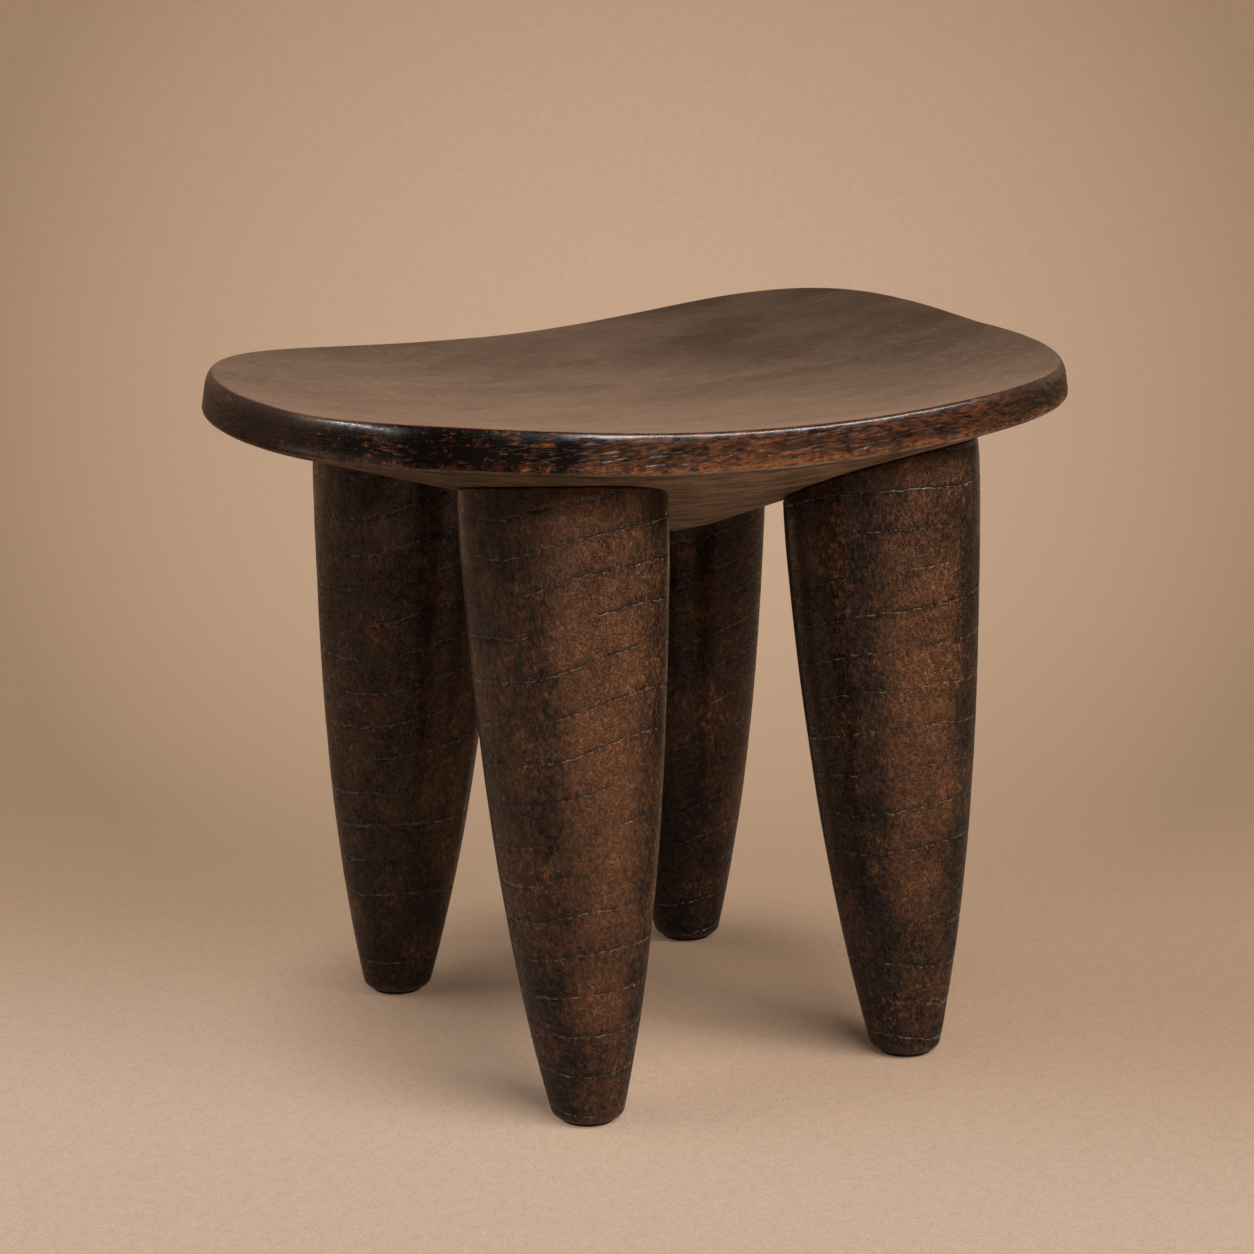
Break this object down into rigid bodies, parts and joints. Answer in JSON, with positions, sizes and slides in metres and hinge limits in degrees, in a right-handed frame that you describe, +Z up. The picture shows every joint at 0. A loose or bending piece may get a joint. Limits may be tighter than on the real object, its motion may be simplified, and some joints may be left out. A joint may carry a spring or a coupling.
{
  "type": "stool",
  "caption": "Low carved wooden stool with a dished rounded-rectangle seat, a belly carved underneath and stout bullet-shaped legs that taper to small feet.",
  "frame": {"origin": "on the floor, under the centre of the seat's outline", "axes": "+X along the seat's long side, towards its right end seen from the front; -Y is the front; +Z up"},
  "size_m": [0.4639, 0.331, 0.3571],
  "materials": {
    "seat_wood": "dark stained and waxed, satin on the top and glossier on the worn rim",
    "leg_wood": "dark stained and waxed, worn to orange brown in places",
    "wedge_wood": "bare wood, hidden in the joint",
    "foot_pad": "matte black"
  },
  "bodies": {
    "root": {"seat": "seat_wood", "leg_front_left": "leg_wood", "leg_front_right": "leg_wood", "leg_back_left": "leg_wood", "leg_back_right": "leg_wood", "wedge_front_left": "wedge_wood", "wedge_front_right": "wedge_wood", "wedge_back_left": "wedge_wood", "wedge_back_right": "wedge_wood", "foot_pad_front_left": "foot_pad", "foot_pad_front_right": "foot_pad", "foot_pad_back_left": "foot_pad", "foot_pad_back_right": "foot_pad"}
  },
  "joints": []
}
